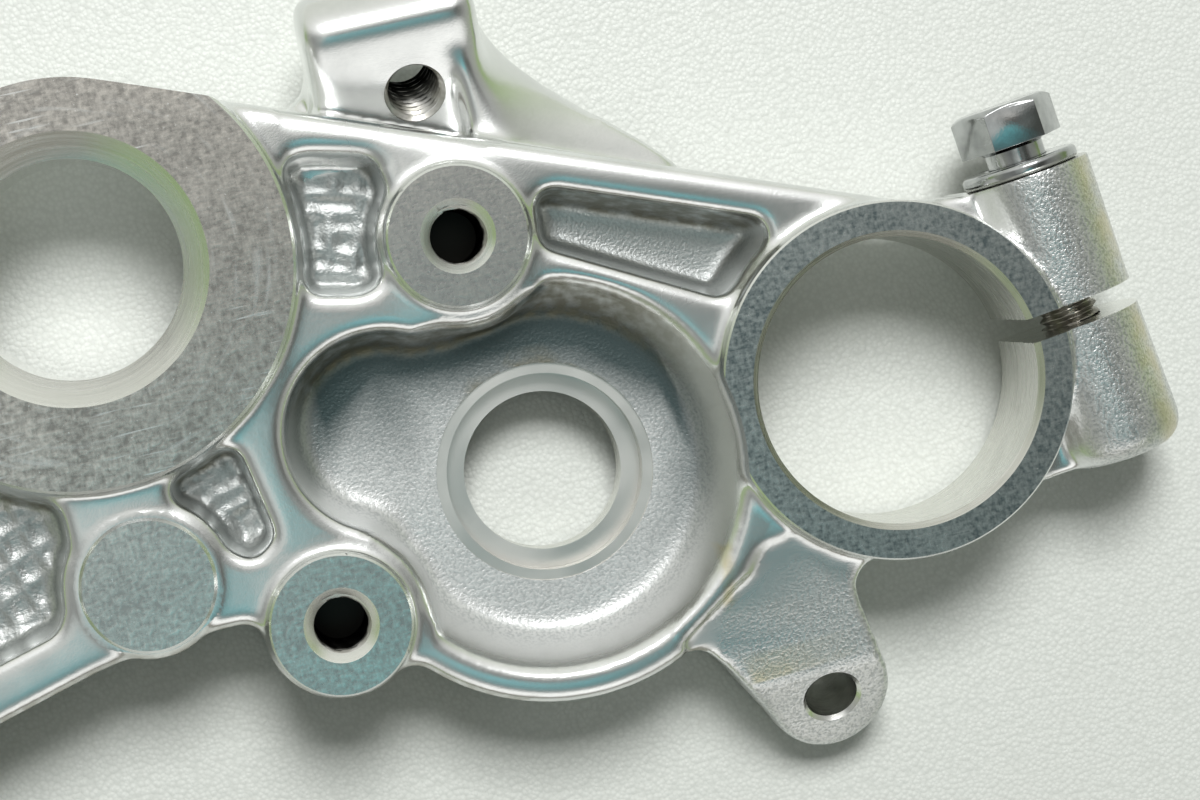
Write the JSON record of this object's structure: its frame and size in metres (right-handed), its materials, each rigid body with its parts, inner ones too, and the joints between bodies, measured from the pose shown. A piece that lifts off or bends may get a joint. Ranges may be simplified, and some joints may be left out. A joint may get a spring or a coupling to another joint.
{
  "type": "motorcycle triple clamp",
  "caption": "Cast alloy upper fork clamp, underside up: split rings with pinch bolts, stem bore, ribbed pockets, switch pan with keyhole, leaning riser and bracket lugs.",
  "frame": {"origin": "on the steering axis, in the plane of the flat top deck", "axes": "+X to the right fork leg, +Y to the rear of the motorcycle, +Z out of the ribbed underside along the fork legs"},
  "size_m": [0.2734, 0.1113, 0.0239],
  "materials": {
    "cast_alloy": "bright satin casting with matte machined faces",
    "zinc_steel": "bright zinc plating"
  },
  "bodies": {
    "root": {"clamp_body": "cast_alloy", "pinch_bolt_right": "zinc_steel", "pinch_bolt_left": "zinc_steel", "pinch_washer_right": "zinc_steel", "pinch_washer_left": "zinc_steel"}
  },
  "joints": []
}
